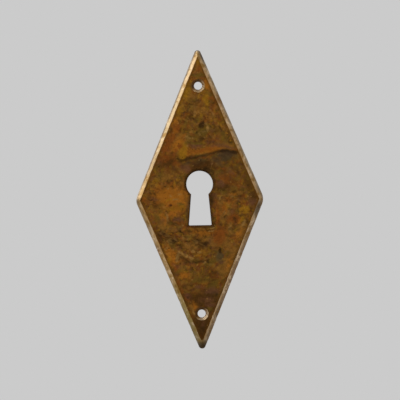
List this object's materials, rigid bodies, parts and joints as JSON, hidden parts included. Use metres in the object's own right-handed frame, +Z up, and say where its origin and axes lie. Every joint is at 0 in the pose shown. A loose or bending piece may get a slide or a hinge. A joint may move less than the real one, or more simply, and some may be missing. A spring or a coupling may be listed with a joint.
{
  "type": "keyhole escutcheon",
  "caption": "Flat diamond-shaped keyhole escutcheon plate with a bevelled rim, a flared keyhole and countersunk pin holes near its tips.",
  "frame": {"origin": "centre of the keyhole's round end, in the flat back face", "axes": "+Z up along the plate's long diagonal, from the keyhole's slot towards its round end; +Y into the wood behind the plate; -Y out of the front, where the key leaves; +X to the right seen from the front"},
  "size_m": [0.028, 0.0015, 0.066],
  "materials": {
    "patinated_brass": "old brown patina over brass, worn bright on the bevelled rim"
  },
  "bodies": {
    "root": {"escutcheon_plate": "patinated_brass"}
  },
  "joints": []
}
